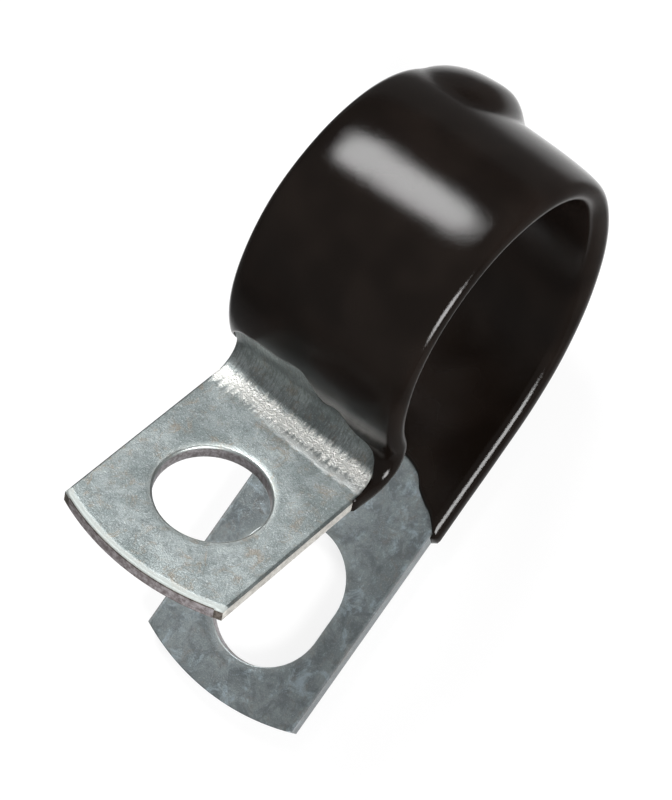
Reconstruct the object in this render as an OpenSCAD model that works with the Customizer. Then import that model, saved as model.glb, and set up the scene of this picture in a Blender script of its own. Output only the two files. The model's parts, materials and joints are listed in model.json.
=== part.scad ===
// P clip: a bent steel strap whose loop is dipped in vinyl, shown sprung open.
// The cable bore's axis is the Y axis, the foot lies flat below it and the loop faces +X.

/* [Strap] */
// Width of the strap
strap_w = 15; // [12:0.5:20]
// Thickness of the strap
strap_t = 1.2; // [0.8:0.1:1.6]

/* [Loop] */
// Diameter of the cable bore, inside the coating
bore_d = 21.1; // [18:0.1:26]
// Radius of the flatter back of the loop, inside the coating
back_r = 18; // [15:0.1:21]

/* [Tabs] */
// Radius inside the neck bend
neck_r = 1.75; // [1.5:0.05:2.4]
// Length of the upper tab from the neck bend to its corners
tab_len = 16.6; // [15:0.1:20]
// Length of the foot from the loop to its corners
foot_len = 28.2; // [26:0.1:34]
// Bow of a tab's end beyond its corners
end_bow = 1.5; // [1:0.1:2.2]

/* [Holes] */
// Diameter of the bolt hole in the upper tab
hole_d = 8.7; // [6.4:0.1:9.4]
// Distance from the upper tab's corners to the bolt hole's centre
hole_inset = 7.5; // [6.6:0.1:8.6]
// Width of the slot in the foot
slot_w = 9.5; // [6.4:0.1:10]
// Length of the slot from end to end
slot_len = 12; // [10.5:0.1:14]
// Distance from the foot's corners to the slot's centre
slot_inset = 8; // [7.4:0.1:9.5]

/* [Coating] */
// Thickness of the vinyl coating
coat_t = 0.63; // [0.4:0.01:0.9]
// Radius of the coating's rounded edges
edge_r = 0.8; // [0.4:0.05:0.95]
// Reach of the coating along the foot, at the foot's edges
coat_reach = 9.7; // [9:0.1:12]
// Depth of the hollow in the coating's end on the foot
coat_hollow = 3.9; // [3:0.1:5]
// Height of the drip that hardened on the loop
drip_h = 1.7; // [0.8:0.1:2]
// Width of the drip at its base
drip_w = 6.9; // [5:0.1:7.5]

/* [Hidden] */
$fn = 96;
steel_grey = [0.62, 0.66, 0.68];
vinyl_black = [0.09, 0.08, 0.075];
// The strap's middle line: a back arc, a crown arc and a neck arc, joined at their tangents
half_t = strap_t / 2;
skin = half_t + coat_t;
crown_mid = bore_d / 2 + skin;
back_mid = back_r + skin;
neck_mid = neck_r + half_t;
// Both angles come from whole-number triangles, so that every joint's place is a short decimal
lean = atan(7 / 24);
lean_dir = [24, -7] / 25;
// The two tabs stand open by about 41 degrees
spread = 6 * atan(3 / 4) - 180;
neck_end = -90 - spread;
back_c = (crown_mid - back_mid) * lean_dir;
neck_c = -(crown_mid + neck_mid) * lean_dir;
// Each tab's end is an arc through its corners
end_r = (strap_w * strap_w / 4 + end_bow * end_bow) / (2 * end_bow);
coat_w = strap_w + 2 * coat_t;
// The coating hollows back from the strap's edges on the foot as one arc
hollow_r = (coat_w * coat_w / 4 + coat_hollow * coat_hollow) / (2 * coat_hollow);
// The coating's end on the neck, as it is seen square to the strap
neck_view = 160;
neck_hollow_r = 11.6;
neck_hollow_y = 2;
neck_hollow_top = 1.75;
// A thin lick of vinyl runs on round the neck along one edge
lick_w = 1.9;
drip_r = (drip_w * drip_w / 4 + drip_h * drip_h) / (2 * drip_h);
drip_y = coat_w / 2 - skin / 2 - drip_w / 2;
drip_angle = 12;
far = 60;

// Stands a shape drawn in the XZ profile upright, with its third direction along -Y
module upright() {
    rotate([90, 0, 0]) children();
}

// Sweeps a section about c: its x is measured from the arc's middle radius r
module bend(c, r, from, sweep) {
    translate([c.x, c.y, 0])
    rotate([0, 0, from])
    rotate_extrude(angle = sweep)
    translate([r, 0])
    children();
}

// All that lies on the -y side of the line through c at an angle
module side_of(c, angle) {
    translate([c.x, c.y, 0])
    rotate([0, 0, angle])
    translate([-far, -far, -far])
    cube([2 * far, far, 2 * far]);
}

module back_bend() {
    difference() {
        bend(back_c, back_mid, -90, 90) children();
        side_of(back_c, 180 - lean);
    }
}

module crown_bend() {
    bend([0, 0], crown_mid, -lean, 180) children();
}

module neck_bend() {
    difference() {
        bend(neck_c, neck_mid, -lean, -180) children();
        side_of(neck_c, neck_end);
    }
}

// Puts a shape at the arc's start, with x outward and -y running on from the arc
module at_start(c, r, from) {
    translate([c.x, c.y, 0])
    rotate([0, 0, from])
    translate([r, 0, 0])
    children();
}

module run_on(c, r, from, len) {
    at_start(c, r, from)
    rotate([90, 0, 0])
    linear_extrude(len)
    children();
}

module strap_section() {
    square([strap_t, strap_w], center = true);
}

// The coating all round the strap, with rounded edges
module coat_section() {
    difference() {
        union() {
            square([2 * (skin - edge_r), coat_w], center = true);
            square([2 * skin, coat_w - 2 * edge_r], center = true);
            for (face = [-1, 1], side = [-1, 1])
            translate([face * (skin - edge_r), side * (coat_w / 2 - edge_r)])
            circle(edge_r);
        }
        strap_section();
    }
}

// The coating along one edge only
module lick_section() {
    intersection() {
        coat_section();
        translate([-skin, coat_w / 2 - lick_w]) square([2 * skin, lick_w]);
    }
}

// A tab's outline, running from y = 0 down to its bowed end
module tab_outline(len) {
    translate([-strap_w / 2, -len]) square([strap_w, len]);
    intersection() {
        translate([0, end_r - len - end_bow]) circle(end_r);
        translate([-strap_w / 2, -len - end_bow]) square([strap_w, end_bow]);
    }
}

module plate() {
    rotate([0, 90, 0])
    linear_extrude(strap_t, center = true)
    children();
}

module upper_tab() {
    at_start(neck_c, neck_mid, neck_end)
    plate()
    difference() {
        tab_outline(tab_len);
        translate([0, hole_inset - tab_len]) circle(d = hole_d);
    }
}

module foot() {
    at_start(back_c, back_mid, -90)
    plate()
    difference() {
        tab_outline(foot_len);
        translate([0, slot_inset - foot_len]) slot_outline();
    }
}

module slot_outline() {
    straight = slot_len - slot_w;
    square([slot_w, straight], center = true);
    for (side = [-1, 1])
    translate([0, side * straight / 2])
    circle(d = slot_w);
}

module strap_body() {
    foot();
    back_bend() strap_section();
    crown_bend() strap_section();
    neck_bend() strap_section();
    upper_tab();
}

module coat_back() {
    difference() {
        union() {
            run_on(back_c, back_mid, -90, coat_reach) coat_section();
            back_bend() coat_section();
        }
        foot_trim();
    }
}

module coat_crown() {
    difference() {
        crown_bend() coat_section();
        neck_trim();
    }
    drip();
}

module coat_neck() {
    neck_bend() lick_section();
}

// The drip is a cap that stands on the crown's outer face
module drip() {
    difference() {
        rotate([0, 0, drip_angle])
        translate([crown_mid + skin + drip_h - drip_r, 0, -drip_y])
        rotate([0, 90, 0])
        sphere(drip_r);
        cylinder(h = far, r = crown_mid + skin - coat_t / 2, center = true);
    }
}

module foot_trim() {
    at_start(back_c, back_mid, -90)
    translate([0, hollow_r * -1 - coat_reach + coat_hollow, 0])
    rotate([0, 90, 0])
    cylinder(h = 6 * skin, r = hollow_r, center = true);
}

module neck_trim() {
    rotate([0, 0, neck_view])
    translate([0, neck_hollow_r - neck_hollow_top, -neck_hollow_y])
    rotate([0, 90, 0])
    cylinder(h = far, r = neck_hollow_r);
}

module strap() {
    color(steel_grey)
    upright()
    strap_body();
}

module coating() {
    color(vinyl_black)
    upright() {
        coat_back();
        coat_crown();
        coat_neck();
    }
}

strap();
coating();
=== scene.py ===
# %% [markdown]
# # A vinyl-coated P clip
# This lesson dresses a small cable clip: a zinc-plated steel strap, bent round
# a former, whose loop was dipped in liquid vinyl. The clip's measured model
# comes in as a fixed frame, and everything here is made in that same frame, in
# metres: Y runs along the cable, Z is up and the foot lies flat.

import json
import math

import bmesh
import bpy
from mathutils import Matrix, Vector, noise


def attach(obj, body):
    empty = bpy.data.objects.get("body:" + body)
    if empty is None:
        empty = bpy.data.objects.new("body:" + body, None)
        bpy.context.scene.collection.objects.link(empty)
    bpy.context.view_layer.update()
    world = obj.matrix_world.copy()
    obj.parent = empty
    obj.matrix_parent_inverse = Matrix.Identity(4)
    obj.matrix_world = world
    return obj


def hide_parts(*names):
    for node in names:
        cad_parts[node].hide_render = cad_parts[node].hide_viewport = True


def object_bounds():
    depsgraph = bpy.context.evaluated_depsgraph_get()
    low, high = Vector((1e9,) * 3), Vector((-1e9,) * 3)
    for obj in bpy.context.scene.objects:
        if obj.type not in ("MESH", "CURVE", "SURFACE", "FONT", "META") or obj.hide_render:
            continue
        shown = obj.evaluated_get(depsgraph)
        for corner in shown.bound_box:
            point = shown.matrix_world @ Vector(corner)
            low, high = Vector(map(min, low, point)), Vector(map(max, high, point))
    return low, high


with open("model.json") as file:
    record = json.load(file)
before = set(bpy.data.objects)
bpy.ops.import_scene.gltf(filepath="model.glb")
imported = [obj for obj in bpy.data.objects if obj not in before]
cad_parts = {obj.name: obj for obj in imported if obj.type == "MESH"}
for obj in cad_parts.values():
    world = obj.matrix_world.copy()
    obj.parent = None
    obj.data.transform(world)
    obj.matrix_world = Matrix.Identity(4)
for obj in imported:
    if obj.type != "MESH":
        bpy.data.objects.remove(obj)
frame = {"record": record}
scene = bpy.context.scene
record = frame["record"]
mm = 0.001


def plain_box():
    """The whole object's box as two plain lists of numbers."""
    low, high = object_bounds()
    return [list(map(float, low)), list(map(float, high))]


measured_box = plain_box()
mounts = {mount["name"]: mount for mount in record["mounts"]}
print("measured clip, mm:", [round((b - a) / mm, 1) for a, b in zip(*measured_box)])

# %% [markdown]
# ## The camera
# A long lens from high above keeps the small clip free of perspective
# stretch. It could be set by three angles, but a camera is easier to read as a
# place, a line of sight and a roll round that line. The helper that turns it
# also turns the lamps later.

# %% Place the camera
camera_data = bpy.data.cameras.new("camera")
camera = bpy.data.objects.new("camera", camera_data)
scene.collection.objects.link(camera)
camera_data.lens = 179.4
camera_data.sensor_width = 36

camera_place = Vector((6.70, -97.64, 276.17)) * mm
sight = Vector((-0.06195, 0.33101, -0.94159)).normalized()
roll = math.radians(-64.90)


def turned_to(way):
    """The turn that makes a camera or a lamp look one way."""
    return way.to_track_quat("-Z", "Y").to_matrix().to_4x4()


camera_stand = Matrix.Translation(camera_place) @ turned_to(sight)
camera.matrix_world = camera_stand @ Matrix.Rotation(roll, 4, "Z")
scene.camera = camera
scene.view_settings.view_transform = "Standard"
print("camera right:", [round(v, 4) for v in camera.matrix_world.col[0][:3]])

# %% [markdown]
# ## The flat blank and its bends
# The real strap starts as a flat blank with rounded ends and two punched
# openings, and is then bent round a former. It could be modelled bent, but
# working the press's way keeps every edge clean: holes, rolled rims and grain
# are all made on the flat, and one function lays the finished sheet along the
# bends. On the flat, `along` runs from the foot's corners to the upper tab's,
# `across` is the strap's width and `out` is the way out of the loop.

# %% Name the clip's sizes
strap_wide = 15 * mm
strap_thick = 1.2 * mm
skin_thick = 0.63 * mm
bore_radius = mounts["cable_bore"]["dims"]["r_mm"] * mm
hole_radius = mounts["bolt_hole"]["dims"]["r_mm"] * mm
back_radius = 18 * mm
neck_radius = 1.75 * mm
foot_length = 28.2 * mm
tab_length = 16.6 * mm
end_bow = 1.5 * mm

# Bends are measured at the middle of the strap's thickness
half_skin = strap_thick / 2 + skin_thick
crown_bend = bore_radius + half_skin
back_bend = back_radius + half_skin
neck_bend = neck_radius + strap_thick / 2
# The crown's half turn is tipped by the lean, and the tabs stand open by the spread
lean = math.atan(7 / 24)
spread = 6 * math.atan(3 / 4) - math.pi
print("tabs stand open by degrees:", round(math.degrees(spread), 1))

# %% Lay a sheet along the bends
# Each run is its length and how far it turns, a left turn counting as positive.
back_turn = math.pi / 2 - lean
neck_turn = math.pi / 2 + spread - lean
runs = [
    (foot_length, 0),
    (back_bend * back_turn, back_turn),
    (crown_bend * math.pi, math.pi),
    (neck_bend * neck_turn, -neck_turn),
    (tab_length, 0),
]
foot_end = runs[0][0]
crown_start = foot_end + runs[1][0]
neck_start = crown_start + runs[2][0]
tab_start = neck_start + runs[3][0]
blank_length = tab_start + runs[4][0]
foot_corner = Vector(
    (
        (crown_bend - back_bend) * math.cos(lean) - foot_length,
        -(crown_bend - back_bend) * math.sin(lean) - back_bend,
    )
)


def middle_line(along):
    """Where the strap's middle is after a length of it, and which way it heads."""
    x, z = foot_corner
    heading = 0.0
    for length, turn in runs:
        step = along if (length, turn) == runs[-1] else min(along, length)
        if turn:
            radius = length / turn
            swing = step / radius
            x += radius * (math.sin(heading + swing) - math.sin(heading))
            z -= radius * (math.cos(heading + swing) - math.cos(heading))
            heading += swing
        else:
            x += step * math.cos(heading)
            z += step * math.sin(heading)
        along -= step
        if along <= 0:
            break
    return x, z, heading


def lay_along_bends(bm):
    """Moves a flat sheet's points to where the bent strap has them."""
    for v in bm.verts:
        along, across, out = v.co
        x, z, heading = middle_line(along)
        v.co = (x + out * math.sin(heading), across, z - out * math.cos(heading))
    bmesh.ops.reverse_faces(bm, faces=bm.faces[:])


print("blank length, mm:", round((blank_length + 2 * end_bow) / mm, 2))

# %% [markdown]
# ## Cutting a sheet so that it can bend
# A mesh only bends where it has points. An even grid would waste most of them
# on the flat tabs, so the sheet is cut across at close stations in each bend,
# and not at all where it stays flat. The tighter the bend, the closer the cuts.

# %% Cut across the bends
def stations(start, end, spacing):
    """Evenly spaced places from start to end, both included."""
    count = max(1, math.ceil((end - start) / spacing))
    return [start + (end - start) * n / count for n in range(count + 1)]


def cut_sheet(bm, places, direction):
    """Cuts the whole sheet at each place along one direction."""
    for place in places:
        bmesh.ops.bisect_plane(
            bm,
            geom=bm.verts[:] + bm.edges[:] + bm.faces[:],
            dist=1e-7,
            plane_co=Vector(direction) * place,
            plane_no=direction,
        )


wide_spacing = 0.6 * mm
neck_spacing = 0.15 * mm
strap_cuts = (
    stations(foot_end, crown_start, wide_spacing)
    + stations(crown_start, neck_start, wide_spacing)[1:]
    + stations(neck_start, tab_start, neck_spacing)[1:]
)
print("cuts across the strap:", len(strap_cuts))

# %% Turn a mesh into a piece
def new_piece(name, bm, material):
    """Makes a finished mesh into an object that rides with the clip."""
    mesh = bpy.data.meshes.new(name)
    bm.to_mesh(mesh)
    bm.free()
    mesh.polygons.foreach_set("use_smooth", [True] * len(mesh.polygons))
    piece = bpy.data.objects.new(name, mesh)
    scene.collection.objects.link(piece)
    mesh.materials.append(material)
    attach(piece, "root")
    print(name, "has", len(mesh.vertices), "points")
    return piece


# %% [markdown]
# ## Writing a finish
# Shader maths reads best as plain expressions. `Wire` wraps a node's output, so
# that `a * 2 + b` adds the Math nodes it needs, and `Finish.add` makes any
# other node from its type, its settings and the values of its inputs. A finish
# of several tones is built as a painter would: a ground, then coats over it.

# %% A short way to write materials
class Wire:
    """A node's output that can be used in sums."""

    def __init__(self, finish, socket):
        self.finish = finish
        self.socket = socket

    def sum(self, operation, first, *others):
        values = dict(enumerate((first,) + others))
        return self.finish.add("ShaderNodeMath", {"operation": operation}, values)

    def __add__(self, other):
        return self.sum("ADD", self, other)

    def __sub__(self, other):
        return self.sum("SUBTRACT", self, other)

    def __rsub__(self, other):
        return self.sum("SUBTRACT", other, self)

    def __mul__(self, other):
        return self.sum("MULTIPLY", self, other)

    def __pow__(self, other):
        return self.sum("POWER", self, other)

    def __abs__(self):
        return self.sum("ABSOLUTE", self)

    def below(self, other):
        return self.sum("MINIMUM", self, other)

    def above(self, other):
        return self.sum("MAXIMUM", self, other)

    __radd__ = __add__
    __rmul__ = __mul__


class Finish:
    """A material and the nodes that make up its look."""

    def __init__(self, name):
        self.material = bpy.data.materials.new(name)
        self.material.use_nodes = True
        self.tree = self.material.node_tree
        self.tree.nodes.clear()
        self.surface = self.add("ShaderNodeBsdfPrincipled")
        output = self.tree.nodes.new("ShaderNodeOutputMaterial")
        self.tree.links.new(self.surface.socket, output.inputs["Surface"])

    def add(self, kind, settings=None, values=None, output=0):
        node = self.tree.nodes.new(kind)
        for setting, value in (settings or {}).items():
            setattr(node, setting, value)
        self.fill(node, values or {})
        return Wire(self, node.outputs[output])

    def fill(self, node, values):
        for name, value in values.items():
            if isinstance(value, Wire):
                self.tree.links.new(value.socket, node.inputs[name])
            else:
                node.inputs[name].default_value = value

    def set_surface(self, **values):
        names = {key.replace("_", " "): value for key, value in values.items()}
        self.fill(self.surface.socket.node, names)

    def split(self, kind, values, names):
        """Several outputs of one node, each as a wire of its own."""
        node = self.add(kind, values=values).socket.node
        return [Wire(self, node.outputs[name]) for name in names]

    def mottle(self, place, scale, detail=4, roughness=0.55, distortion=0.0):
        """Cloudy noise from 0 to 1, with so many blotches to the metre."""
        values = {
            "Vector": place,
            "Scale": scale,
            "Detail": detail,
            "Roughness": roughness,
            "Distortion": distortion,
        }
        return self.add("ShaderNodeTexNoise", values=values)

    def step(self, value, low, high):
        """0 below low, 1 above high and a smooth rise between them."""
        settings = {"interpolation_type": "SMOOTHSTEP"}
        values = {"Value": value, "From Min": low, "From Max": high}
        return self.add("ShaderNodeMapRange", settings, values)

    def blend(self, amount, one, other):
        """One colour turning into another as the amount goes from 0 to 1."""
        settings = {"data_type": "RGBA"}
        return self.add("ShaderNodeMix", settings, {0: amount, 6: one, 7: other}, 2)

    def coats(self, ground, layers):
        """A ground colour under layers, each an amount that shows and a colour."""
        for amount, tone in layers:
            ground = self.blend(amount, ground, tone)
        return ground

    def bump(self, height, depth, strength=1.0, under=None):
        """A surface raised by a height of so many metres."""
        values = {"Height": height, "Distance": depth, "Strength": strength}
        if under is not None:
            values["Normal"] = under
        return self.add("ShaderNodeBump", values=values)


def colour(red, green, blue):
    return (red, green, blue, 1.0)


# %% [markdown]
# ## Zinc-plated steel
# Plated strip is a cool grey that is never even: cloudy blue-grey patches of
# zinc, small brownish stains and a fine grain. A painted image could show them,
# but layers of noise stay sharp at any distance and need no file. The mottling
# is solid and runs through the metal. The foot is painted paler, as painted
# light from above. What belongs to the blank's shape is read from its UV map,
# which keeps the flat sheet in metres, so that distances to the hole, the slot
# and the ends are worked out in the finish itself: the rims that the press
# rolled over are rubbed brighter, and the neck is drawn and rubbed where it was
# pulled round the former, with a painted highlight over the rubbed band and a
# painted pale line along its ridge.

# %% Read the steel's place
steel = Finish("zinc_plated_steel")
blank_place = steel.add("ShaderNodeUVMap", {"uv_map": "blank"})
solid_place = steel.add("ShaderNodeTexCoord", output="Object")
steel_along, steel_across = steel.split("ShaderNodeSeparateXYZ", {"Vector": blank_place}, "XY")
cut = steel.add("ShaderNodeAttribute", {"attribute_name": "cut_faces"})
cut_end, cut_edge, cut_hole = steel.split(
    "ShaderNodeSeparateColor", {"Color": cut}, ("Red", "Green", "Blue")
)
flat_face = 1 - (cut_end + cut_edge + cut_hole).below(1)


def reach_from(middle, straight=0.0):
    """Distance from an opening's middle, or from the middle line of a slot."""
    along = (abs(steel_along - middle) - straight / 2).above(0)
    return (along * along + steel_across * steel_across) ** 0.5


def rolled(distance, width):
    """1 at an edge, falling smoothly to 0 at a width from it."""
    return 1 - steel.step(distance, 0, width)


slot_wide = 9.5 * mm
slot_long = 12 * mm
slot_middle = 8 * mm
hole_inset = 7.5 * mm
slot_radius = slot_wide / 2
slot_straight = slot_long - slot_wide
hole_middle = blank_length - hole_inset
end_radius = (strap_wide**2 / 4 + end_bow**2) / (2 * end_bow)

from_hole = reach_from(hole_middle) - hole_radius
from_slot = reach_from(slot_middle, slot_straight) - slot_radius
from_tab_end = end_radius - reach_from(blank_length + end_bow - end_radius)
from_edge = strap_wide / 2 - abs(steel_across)
on_foot = 1 - steel.step(steel_along, foot_end, foot_end + 5 * mm)
print("middles of the slot and the hole, mm:", slot_middle / mm, round(hole_middle / mm, 2))

# %% Find the drawn and rubbed neck and its painted highlight
def around(place, middle, solid, fade):
    """1 for so far each side of a middle, then fading to 0."""
    return 1 - steel.step(abs(place - middle), solid, fade)


# Marks drawn out along the strap: the pattern is stretched about sevenfold
drawn_stretch = (0.14, 1.0, 1.0)
drawn_place = steel.add(
    "ShaderNodeMapping", values={"Vector": blank_place, "Scale": drawn_stretch}
)
drawn = steel.mottle(drawn_place, 6800, 3, 0.65)
teeth = steel.mottle(drawn_place, 2600, 3, 0.7)
wander = steel.mottle(blank_place, 420, 3, 0.6)

drawn_middle = tab_start - 3.8 * mm
rub_and_highlight_middle = tab_start - 0.05 * mm
ridge_middle = tab_start + 1.15 * mm

drawn_part = around(steel_along, drawn_middle, 3.0 * mm, 3.9 * mm)
rub_and_highlight_place = steel_along + (teeth - 0.5) * 2.2 * mm
# The rubbed band is also painted near-white as a painted highlight on the bend, and the glint
# speckle in it is painted glint
neck_rub_and_painted_highlight = around(rub_and_highlight_place, rub_and_highlight_middle, 0.3 * mm, 1.25 * mm)
# The ridge and its painted highlight line fade out towards the far edge
ridge_place = steel_along + (wander - 0.5) * 1.1 * mm
near_side = 1 - steel.step(steel_across, -1 * mm, 5 * mm)
neck_ridge_and_painted_line = around(ridge_place, ridge_middle, 0.05 * mm, 0.5 * mm) * near_side
print("neck rubbed about mm:", round(rub_and_highlight_middle / mm, 2))

# %% Mottle the steel
clouds = steel.mottle(solid_place, 300, 5, 0.6, 0.3)
patches = steel.mottle(solid_place, 1100, 8, 0.75, 0.5)
stains = steel.step(steel.mottle(solid_place, 760, 9, 0.78, 0.8), 0.51, 0.64)
grain = steel.mottle(solid_place, 7200, 3, 0.75)
glint = steel.step(steel.mottle(solid_place, 4600, 2, 0.6), 0.46, 0.62)
torn = steel.step(steel.mottle(solid_place, 2600, 4, 0.7), 0.35, 0.65)
blotches = steel.step(steel.mottle(solid_place, 560, 7, 0.72, 0.6), 0.46, 0.60) * on_foot
bloom = steel.step(steel.mottle(solid_place, 700, 8, 0.75, 0.5), 0.50, 0.66) * on_foot

scored = steel.step(drawn, 0.46, 0.62) * drawn_part
print("steel has", len(steel.tree.nodes), "nodes for its patterns")

# %% Lay the steel's colours
dark_zinc = colour(0.185, 0.215, 0.215)
light_zinc = colour(0.31, 0.345, 0.345)
dull_patch = colour(0.145, 0.165, 0.165)
brown_stain = colour(0.24, 0.20, 0.155)
bright_grain = colour(0.55, 0.58, 0.57)
foot_painted_light = colour(0.46, 0.52, 0.55)
dark_blotch = colour(0.15, 0.17, 0.18)
blue_bloom = colour(0.62, 0.75, 0.83)
dark_score = colour(0.16, 0.17, 0.17)
bare_steel_and_painted_highlight = colour(0.95, 0.94, 0.90)
painted_ridge_highlight = colour(0.9, 0.9, 0.88)

zinc = steel.blend(steel.step(clouds, 0.34, 0.66), dark_zinc, light_zinc)
zinc = steel.coats(
    zinc,
    [
        (steel.step(patches, 0.48, 0.60) * 0.55, dull_patch),
        (stains * 0.65, brown_stain),
        (steel.step(grain, 0.5, 0.7) * 0.45, bright_grain),
        # Painted light: the whole foot painted paler, standing in for more light on its upward
        # face
        (on_foot * 0.3, foot_painted_light),
        (blotches * 0.5, dark_blotch),
        (bloom * 0.5, blue_bloom),
        (scored * 0.7, dark_score),
        # Painted highlight: the neck's rubbed band painted near-white, speckled with painted
        # glint
        (neck_rub_and_painted_highlight * (0.7 + glint * 0.3), bare_steel_and_painted_highlight),
        # Painted highlight: a pale line painted along the neck's ridge
        (neck_ridge_and_painted_line * 0.45, painted_ridge_highlight),
    ],
)
print("steel has", len(steel.tree.nodes), "nodes with its colours")

# %% Rims and cut faces of the steel
ragged = (wander - 0.5) * 0.5 * mm + (grain - 0.5) * 0.12 * mm
tab_rim = 1 - steel.step(from_tab_end + ragged, 0.38 * mm, 0.62 * mm)
tab_rim = tab_rim * steel.step(steel_along, tab_start, hole_middle)
hole_rim = rolled(from_hole, 0.6 * mm)
slot_rim = rolled(from_slot, 0.7 * mm)
rubbed = (hole_rim * 0.5 + slot_rim * 0.3 + tab_rim * 0.9).below(1) * flat_face
arris = rolled(from_edge, 0.34 * mm) * on_foot * flat_face

rubbed_rim = colour(0.62, 0.65, 0.63)
dark_arris = colour(0.12, 0.12, 0.12)
foot_edge = colour(0.20, 0.21, 0.215)
end_tint = steel.blend(torn, colour(0.050, 0.041, 0.034), colour(0.15, 0.13, 0.112))
edge_tint = steel.blend(torn, colour(0.38, 0.36, 0.33), colour(0.58, 0.56, 0.52))
edge_tint = steel.blend(on_foot, edge_tint, foot_edge)
hole_tint = steel.blend(torn, colour(0.13, 0.11, 0.11), colour(0.30, 0.28, 0.29))
zinc = steel.coats(
    zinc,
    [
        (rubbed * 0.75, rubbed_rim),
        (arris * 0.8, dark_arris),
        (cut_end, end_tint),
        (cut_edge * 0.85, edge_tint),
        (cut_hole * 0.9, hole_tint),
    ],
)
print("steel has", len(steel.tree.nodes), "nodes with its rims")

# %% Finish the steel
steel_bump = steel.bump(grain, 0.022 * mm, 0.9)
steel_bump = steel.bump(patches, 0.03 * mm, 0.4, steel_bump)
steel_bump = steel.bump(drawn * drawn_part + glint * neck_rub_and_painted_highlight, 0.04 * mm, 0.8, steel_bump)
sunk = hole_rim * 0.5 + slot_rim * 0.5 + tab_rim * 0.35 - neck_ridge_and_painted_line * 0.3
steel_bump = steel.bump(1 - sunk * flat_face, 0.07 * mm, 0.9, steel_bump)
torn_off = cut_end * 0.5 + (cut_hole + neck_rub_and_painted_highlight) * 0.3 + cut_edge * 0.4 + arris * 0.7
dulled = (cut_end + arris + tab_rim) * 0.3 + cut_edge * 0.2
steel.set_surface(
    Base_Color=zinc,
    Metallic=0.94 - torn_off,
    Roughness=0.37 + clouds * 0.1 + dulled,
    Normal=steel_bump,
)
print("steel finish:", len(steel.tree.nodes), "nodes")

# %% [markdown]
# ## The strap
# The strap is one stamped strip. Its openings could be cut by booleans after
# the bend, but on the flat they are only loops of edges. So the outline is drawn
# once, with its two openings, then filled, thickened and given rolled rims. A
# press rounds the edges on the side where the punch goes in, so those rims get
# the larger radius.

# %% Draw and fill the flat blank
def end_arc(corner, way, count=24):
    """Points across a bowed end, from the near corner to the far one."""
    points = []
    for n in range(count + 1):
        across = strap_wide / 2 * (2 * n / count - 1)
        reach = math.sqrt(end_radius**2 - across**2) - end_radius + end_bow
        points.append(Vector((corner + way * reach, across, 0)))
    return points


def closed_loop(bm, points):
    """Edges from point to point and back to the first."""
    verts = [bm.verts.new(point) for point in points]
    for one, other in zip(verts, verts[1:] + verts[:1]):
        bm.edges.new((one, other))


def slot_loop(middle, radius, straight, count=64):
    """A round opening, or a slot where it has a straight run."""
    points = []
    for n in range(count):
        angle = 2 * math.pi * (n + 0.5) / count
        push = math.copysign(straight / 2, math.cos(angle))
        points.append(
            Vector((middle + push + radius * math.cos(angle), radius * math.sin(angle), 0))
        )
    return points


blank = bmesh.new()
closed_loop(blank, end_arc(0, -1) + end_arc(blank_length, 1)[::-1])
closed_loop(blank, slot_loop(slot_middle, slot_radius, slot_straight))
closed_loop(blank, slot_loop(hole_middle, hole_radius, 0))
bmesh.ops.triangle_fill(blank, use_beauty=True, edges=blank.edges[:], normal=(0, 0, 1))
bmesh.ops.translate(blank, verts=blank.verts[:], vec=(0, 0, -strap_thick / 2))
thickened = bmesh.ops.extrude_face_region(blank, geom=blank.faces[:])
risen = [item for item in thickened["geom"] if isinstance(item, bmesh.types.BMVert)]
bmesh.ops.translate(blank, verts=risen, vec=(0, 0, strap_thick))
bmesh.ops.recalc_face_normals(blank, faces=blank.faces[:])
print("flat blank:", len(blank.faces), "faces")

# %% Roll the rims
# Two faces that meet at more than this many radians have a square edge
square_angle = 0.8


def sharp_edges(bm, out_side):
    """The blank's square edges on one of its two faces."""
    found = []
    for edge in bm.edges:
        if len(edge.link_faces) == 2 and edge.calc_face_angle() > square_angle:
            if all(v.co.z * out_side > strap_thick * 0.4 for v in edge.verts):
                found.append(edge)
    return found


punched_rim = 0.22 * mm
other_rim = 0.10 * mm
for out_side, rim in ((1, punched_rim), (-1, other_rim)):
    bmesh.ops.bevel(
        blank,
        geom=sharp_edges(blank, out_side),
        offset=rim,
        offset_type="OFFSET",
        affect="EDGES",
        segments=3,
        profile=0.5,
        material=-1,
    )
blank.normal_update()
print("with rolled rims:", len(blank.faces), "faces")

# %% Mark the cut faces and bend the strap
cut_sheet(blank, strap_cuts, (1, 0, 0))
flat_map = blank.loops.layers.uv.new("blank")
cut_faces = blank.loops.layers.float_color.new("cut_faces")
for face in blank.faces:
    level = abs(face.normal.z) < 0.3
    outside = max(abs(v.co.y) for v in face.verts) > strap_wide / 2 - 0.01 * mm
    long_edge = level and outside and abs(face.normal.y) > 0.8
    bowed_end = level and not long_edge and face.normal.x > 0.8
    at_tab = face.calc_center_median().x > blank_length
    inside_cut = abs(face.normal.z) < 0.05 and not outside
    # Blue marks the openings and also the bowed ends, apart from their corners
    kinds = (float(bowed_end and at_tab), float(long_edge), float(inside_cut), 1)
    for loop in face.loops:
        loop[flat_map].uv = loop.vert.co.xy
        loop[cut_faces] = kinds
lay_along_bends(blank)
strap = new_piece("steel_strap", blank, steel.material)
weigh = strap.modifiers.new("weigh_normals", "WEIGHTED_NORMAL")
weigh.weight = 100
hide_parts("strap")

# %% [markdown]
# ## Dipped vinyl
# Liquid vinyl cures to a nearly black, glossy skin. A plain glossy black would
# look like glass, and real dips aren't that smooth: a slow swirl bends every
# highlight a little, and a fine orange peel softens its edges. Both are bumps,
# because they are far too shallow to show in the outline.

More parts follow.
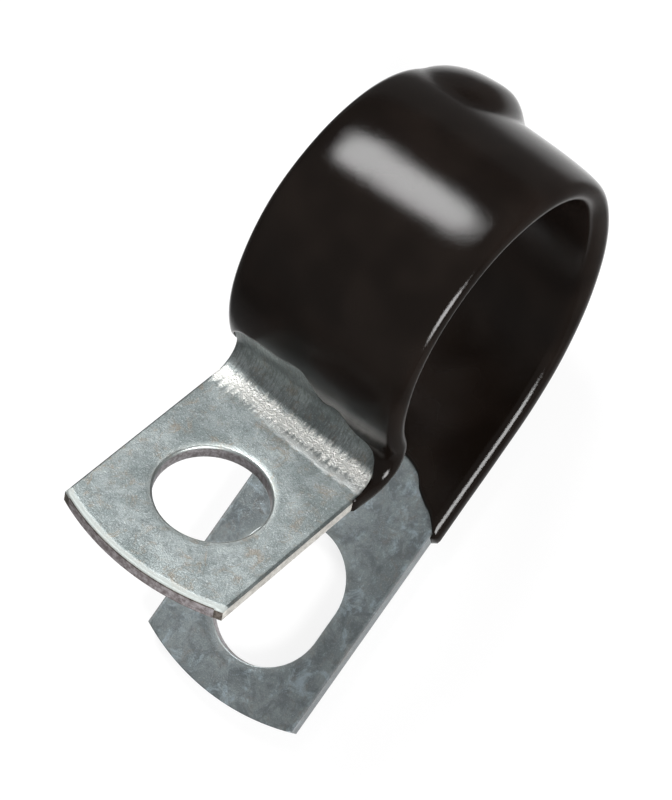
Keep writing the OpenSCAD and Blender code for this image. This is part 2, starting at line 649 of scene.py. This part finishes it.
# %% The vinyl finish
vinyl = Finish("dipped_vinyl")
skin_place = vinyl.add("ShaderNodeTexCoord", output="Object")
swirl = vinyl.mottle(skin_place, 230, 1, 0.5)
peel = vinyl.mottle(skin_place, 9000, 2, 0.7)
deep_black = colour(0.0050, 0.0034, 0.0026)
warm_black = colour(0.0080, 0.0056, 0.0044)
tint = vinyl.blend(vinyl.step(swirl, 0.35, 0.7), deep_black, warm_black)
vinyl_bump = vinyl.bump(swirl, 0.10 * mm, 0.5)
vinyl_bump = vinyl.bump(peel, 0.009 * mm, 1.0, vinyl_bump)
vinyl.set_surface(
    Base_Color=tint,
    Roughness=0.03 + peel * 0.10,
    Normal=vinyl_bump,
    IOR=1.45,
    Specular_IOR_Level=0.24,
)
print("vinyl finish:", len(vinyl.tree.nodes), "nodes")

# %% [markdown]
# ## The vinyl skin
# The skin is a hollow sleeve over the strap. A Solidify modifier on the strap
# could make an even one, but the real skin ends in wavy lines and carries a
# drip. So it is drawn on the flat too, as a rounded section run along the strap.
# Its two ends are then slid to the lines where the dip stopped, and thinned to a
# lip, before it is bent.

# %% Draw the sleeve's section and run it along the strap
coat_wide = strap_wide + 2 * skin_thick
# A hair under half the thickness, so that the section keeps its four corners apart
edge_round = half_skin - 0.01 * mm
coat_start = 20 * mm
coat_stop = neck_start
slide_run = 8 * mm

sleeve = bmesh.new()
bmesh.ops.create_grid(
    sleeve, x_segments=1, y_segments=1, size=0.5, matrix=Matrix.Rotation(math.pi / 2, 4, "Y")
)
bmesh.ops.scale(sleeve, verts=sleeve.verts[:], vec=(1, coat_wide, 2 * half_skin))
bmesh.ops.bevel(
    sleeve,
    geom=sleeve.verts[:],
    offset=edge_round,
    offset_type="OFFSET",
    affect="VERTICES",
    segments=10,
    profile=0.5,
    material=-1,
)
bmesh.ops.delete(sleeve, geom=sleeve.faces[:], context="FACES_ONLY")
bmesh.ops.translate(sleeve, verts=sleeve.verts[:], vec=(coat_start, 0, 0))
run_out = bmesh.ops.extrude_edge_only(sleeve, edges=sleeve.edges[:])
moved = [item for item in run_out["geom"] if isinstance(item, bmesh.types.BMVert)]
bmesh.ops.translate(sleeve, verts=moved, vec=(coat_stop - coat_start, 0, 0))
bmesh.ops.recalc_face_normals(sleeve, faces=sleeve.faces[:])
print("sleeve section:", len(moved), "points")

# %% Cut the sleeve both ways
along_cuts = (
    stations(coat_start, coat_start + slide_run, 0.2 * mm)[1:]
    + stations(coat_start + slide_run, coat_stop - slide_run, 0.5 * mm)[1:]
    + stations(coat_stop - slide_run, coat_stop, 0.12 * mm)[1:-1]
)
# The flat part of the section is cut lengthways too, so that it can crown and drip
flat_half = coat_wide / 2 - edge_round
cut_sheet(sleeve, along_cuts, (1, 0, 0))
cut_sheet(sleeve, stations(-flat_half, flat_half, 0.4 * mm)[1:-1], (0, 1, 0))
print("sleeve skin:", len(sleeve.faces), "faces")

# %% [markdown]
# ## Where the dip stopped
# The clip went into the vinyl loop first, so the skin ends in two wavy lines:
# one round the neck, where a lick of vinyl ran on along one edge, and one on
# the foot, hollow in the middle. A boolean would cut them with a hard edge, so
# the sleeve's own points are slid there instead. A line is a few places across
# the strap with how far the skin reaches there, joined smoothly.

# %% The two end lines
def smooth_line(points, across):
    """A smooth curve through (across, reach) points, in metres."""
    points = [(a * mm, b * mm) for a, b in points]
    if across <= points[0][0]:
        return points[0][1]
    if across >= points[-1][0]:
        return points[-1][1]
    spot = next(n for n in range(1, len(points)) if across <= points[n][0])
    (a0, r0), (a1, r1) = points[spot - 1], points[spot]
    before = points[max(spot - 2, 0)]
    after = points[min(spot + 1, len(points) - 1)]
    width = a1 - a0
    slope0 = (r1 - before[1]) / (a1 - before[0]) * width
    slope1 = (after[1] - r0) / (after[0] - a0) * width
    t = (across - a0) / width
    return (
        (2 * t**3 - 3 * t**2 + 1) * r0
        + (t**3 - 2 * t**2 + t) * slope0
        + (3 * t**2 - 2 * t**3) * r1
        + (t**3 - t**2) * slope1
    )


# Reach past the end of the crown's bend, on the loop's outer face
neck_line = [
    (-7.6, 6.9), (-7.1, 4.4), (-6.3, 2.1), (-5.5, 1.0), (-4.5, 0.3), (-3.7, -1.0), (-2.8, -1.6),
    (-1.8, -1.2), (-0.7, -2.2), (0.2, -3.0), (0.9, -3.1), (2.4, -2.8), (3.8, -2.7), (5.3, -2.5),
    (6.8, -1.8), (8.1, 0.4),
]
# Place on the foot, measured from its corners, on the loop's inner face
foot_line = [
    (-7.7, 18.6), (-6.4, 19.9), (-5.6, 20.3), (-4.4, 21.1), (-4.0, 21.7), (-2.8, 22.3),
    (-1.5, 22.5), (1.5, 22.2), (3.6, 21.8), (4.6, 20.8), (6.2, 20.2), (7.7, 18.2),
]

# On the neck's inner face and the foot's underside, each line is a plain curve
under_neck_middle = 1.2 * mm
under_neck_rise = 3.2 * mm
under_foot_middle = 19.6 * mm
under_foot_fall = 1.6 * mm
# Past here the neck's two lines are one, round the sleeve's edge
edge_turn = 7.4 * mm
# The height each side of the section's middle over which one line becomes the other
turn_height = 0.8 * half_skin


def share(value):
    """A value kept between 0 and 1."""
    return min(max(value, 0), 1)


def skin_ends(across, out):
    """Where the skin starts and stops for one place on the sleeve's section."""
    outer = share(out / turn_height * 0.5 + 0.5)
    under_neck = under_neck_middle + under_neck_rise * (across / (coat_wide / 2)) ** 2
    over_neck = smooth_line(neck_line, across)
    if abs(across) > edge_turn:
        under_neck = over_neck
    under_foot = under_foot_middle - under_foot_fall * (across / (coat_wide / 2)) ** 2
    over_foot = smooth_line(foot_line, across)
    stop = coat_stop + outer * over_neck + (1 - outer) * under_neck
    start = outer * under_foot + (1 - outer) * over_foot
    return start, stop


near_edge_start = skin_ends(foot_line[0][0] * mm, -half_skin)[0]
print("skin on the foot's near edge starts at mm:", round(near_edge_start / mm, 2))

# %% [markdown]
# ## Thickness, lips and the drip
# The skin is a little thinner in places than its full thickness. Only two
# places stand above it: the drip, where the last of the vinyl ran together on
# the crown and set, and one low swell. Sculpting would do, but here each point
# of the skin knows the nearest point of steel, so its thickness is simply how
# far it stands from there. At an end the thickness falls in a quarter round to
# a lip. The sleeve's inner wall is the same mesh again, drawn in until it is
# hidden a hair inside the steel.

# %% Name the skin's shape
lip = 0.55 * mm
thinnest = 0.04
uneven = 0.06
waves_to_the_metre = 230
# The lick thins as it runs past the end of the crown's bend
lick_start = 2.5 * mm
lick_run = 4 * mm
lick_thinning = 0.55
# The outer face falls away towards both of the strap's edges
crown_half = 7.2 * mm
crown_fall = 0.28
# The drip is steeper on its near flank than on its far one
drip_along = crown_start + crown_bend * (lean - math.radians(1))
drip_across = 3.1 * mm
drip_height = 1.55 * mm
drip_reach = 4.7 * mm
drip_stretch = 1.15
near_flank = 1.5
far_flank = 0.84
# A low swell lies further round the loop
swell_along = crown_start + crown_bend * (math.radians(98) + lean)
swell_across = 5.5 * mm
swell_height = 0.10 * mm
swell_reach = 4.0 * mm
swell_stretch = 1.6
# Each wall of the sleeve is measured from this far inside the steel, and the
# inner one keeps a twentieth of its distance
inner_shrink = 0.08 * mm
outer_shrink = 0.02 * mm
inner_squeeze = 20
print("drip is mm past the back bend:", round((drip_along - crown_start) / mm, 2))

# %% Shape the skin
def steel_under(across, out, shrink):
    """The nearest point of the strap's section, drawn in a hair."""
    side = strap_wide / 2 - shrink
    half = strap_thick / 2 - shrink
    return min(max(across, -side), side), min(max(out, -half), half)


def bell(distance, reach):
    """1 in the middle, falling smoothly to 0 at its reach."""
    near = max(0.0, 1 - (distance / reach) ** 2.8)
    return near**1.3


sleeve_points = sleeve.verts[:]
inner = bmesh.ops.duplicate(sleeve, geom=sleeve.verts[:] + sleeve.edges[:] + sleeve.faces[:])
inner_points = [item for item in inner["geom"] if isinstance(item, bmesh.types.BMVert)]
inner_faces = [item for item in inner["geom"] if isinstance(item, bmesh.types.BMFace)]
bmesh.ops.reverse_faces(sleeve, faces=inner_faces)


def slide_ends(along, across, out):
    """Moves a place near either end of the skin so that the end meets its line."""
    start, stop = skin_ends(across, out)
    first = max(0.0, 1 - (along - coat_start) / slide_run)
    last = max(0.0, 1 - (coat_stop - along) / slide_run)
    along += first * (start - coat_start) + last * (stop - coat_stop)
    return along, min(along - start, stop - along)


for v in inner_points:
    along, across, out = v.co
    along, _ = slide_ends(along, across, out)
    core_across, core_out = steel_under(across, out, inner_shrink)
    across = core_across + (across - core_across) / inner_squeeze
    out = core_out + (out - core_out) / inner_squeeze
    v.co = (along, across, out)

for v in sleeve_points:
    along, across, out = v.co
    along, from_end = slide_ends(along, across, out)
    core_across, core_out = steel_under(across, out, outer_shrink)
    near_end = share(from_end / lip)
    full = max(thinnest, math.sqrt(1 - (1 - near_end) ** 2))
    place = Vector((along, across, out))
    wave = noise.noise(place * waves_to_the_metre) * uneven - uneven
    lick = share((along - coat_stop - lick_start) / lick_run)
    full *= (1 + wave * near_end) * (1 - lick_thinning * lick)
    if out > 0:
        out *= 1 - crown_fall * min(abs(across) / crown_half, 1) ** 4
        steep = far_flank if across > drip_across else near_flank
        sideways = (across - drip_across) * steep
        distance = math.hypot((along - drip_along) / drip_stretch, sideways)
        out += drip_height * bell(distance, drip_reach)
        distance = math.hypot((along - swell_along) / swell_stretch, across - swell_across)
        out += swell_height * bell(distance, swell_reach)
    across = core_across + (across - core_across) * full
    out = core_out + (out - core_out) * full
    v.co = (along, across, out)

print("skin shaped:", len(sleeve_points), "outer and", len(inner_points), "inner points")

# %% Close the ends, bend and finish the skin
rims = [edge for edge in sleeve.edges if edge.is_boundary]
middle = (coat_start + coat_stop) / 2
for at_start in (True, False):
    ring = [edge for edge in rims if (edge.verts[0].co.x < middle) == at_start]
    bmesh.ops.bridge_loops(sleeve, edges=ring)
lay_along_bends(sleeve)
coating = new_piece("vinyl_coating", sleeve, vinyl.material)
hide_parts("coating")

# %% [markdown]
# ## Floor and light
# The floor is a plain pale sheet under the clip. More light would whiten it,
# but would wash out the steel too, so its white is a glow that the camera sees
# and that lights no rough surface, and it keeps a soft shadow. Reflections see
# the glow only in a painted lit patch close behind the clip, and painted shade
# elsewhere, so that the vinyl stays deep and only its edges catch a pale line.
# That patch is a choice of looks: a real white floor would be mirrored from all
# round. One oval lamp draws the broad highlight on the crown, and a wider one in
# front draws the long ones on the near rim.

# %% Lay the floor
floor_radius = 1.5
lowest = measured_box[0][2]
floor_bm = bmesh.new()
bmesh.ops.create_circle(floor_bm, cap_ends=True, segments=96, radius=floor_radius)
bmesh.ops.translate(floor_bm, verts=floor_bm.verts[:], vec=(0, 0, lowest))
floor_mesh = bpy.data.meshes.new("floor")
floor_bm.to_mesh(floor_mesh)
floor_bm.free()
floor = bpy.data.objects.new("floor", floor_mesh)
scene.collection.objects.link(floor)
print("floor lies at mm:", round(lowest / mm, 2))

# %% Give the floor its paper
glow_share = 0.8
paper = Finish("floor_paper")
floor_place = paper.add("ShaderNodeTexCoord", output="Object")
beside, behind = paper.split("ShaderNodeSeparateXYZ", {"Vector": floor_place}, "XY")
away = (beside * beside + behind * behind) ** 0.5
# Painted light for reflections: a lit patch close behind the clip, with painted shade beyond it
painted_lit_patch = paper.step(behind, -14 * mm, -3 * mm) * (1 - paper.step(away, 20 * mm, 50 * mm))
to_camera, mirrored, through = paper.split(
    "ShaderNodeLightPath", {}, ("Is Camera Ray", "Is Glossy Ray", "Is Transmission Ray")
)
seen = (to_camera + mirrored * painted_lit_patch).above(through)
pale_paper = colour(0.9, 0.9, 0.9)
# Painted shade: the paper is dark where reflections see it outside the lit patch
painted_shade_in_reflections = colour(0.12, 0.12, 0.12)
sheet = paper.blend(mirrored * (1 - painted_lit_patch), pale_paper, painted_shade_in_reflections)
paper.set_surface(Base_Color=sheet, Roughness=0.9, Specular_IOR_Level=0.2)
glow = paper.add("ShaderNodeEmission", values={"Color": colour(1, 1, 1), "Strength": 1.0})
shown = paper.add(
    "ShaderNodeMixShader", values={0: seen * glow_share, 1: paper.surface, 2: glow}
)
paper_output = next(n for n in paper.tree.nodes if n.type == "OUTPUT_MATERIAL")
paper.tree.links.new(shown.socket, paper_output.inputs["Surface"])
floor_mesh.materials.append(paper.material)
print("paper:", len(paper.tree.nodes), "nodes")

# %% Light the room
world = bpy.data.worlds.new("studio")
scene.world = world
world.use_nodes = True
room = world.node_tree
background = room.nodes["Background"]
direction = room.nodes.new("ShaderNodeTexCoord")
height = room.nodes.new("ShaderNodeSeparateXYZ")
room.links.new(direction.outputs["Generated"], height.inputs["Vector"])
fade = room.nodes.new("ShaderNodeMapRange")
fade.interpolation_type = "SMOOTHSTEP"
for end, value in {"From Min": 0.1, "From Max": 0.6, "To Min": 0.14, "To Max": 0.28}.items():
    fade.inputs[end].default_value = value
room.links.new(height.outputs["Z"], fade.inputs["Value"])
room.links.new(fade.outputs["Result"], background.inputs["Color"])
background.inputs["Strength"].default_value = 1.0

lamp_distance = 0.7


def softbox(name, way, wide, tall, power):
    """An oval lamp that hangs in one direction from the clip and faces it."""
    lamp = bpy.data.lights.new(name, "AREA")
    lamp.shape = "ELLIPSE"
    lamp.size = wide
    lamp.size_y = tall
    lamp.energy = power
    holder = bpy.data.objects.new(name, lamp)
    scene.collection.objects.link(holder)
    place = Vector(way).normalized() * lamp_distance
    holder.matrix_world = Matrix.Translation(place) @ turned_to(-place)


softbox("key_softbox", way=(0.62, 0.35, 0.70), wide=0.32, tall=0.29, power=5.4)
softbox("front_lamp", way=(-0.16, -0.85, 0.50), wide=0.40, tall=0.32, power=7.6)
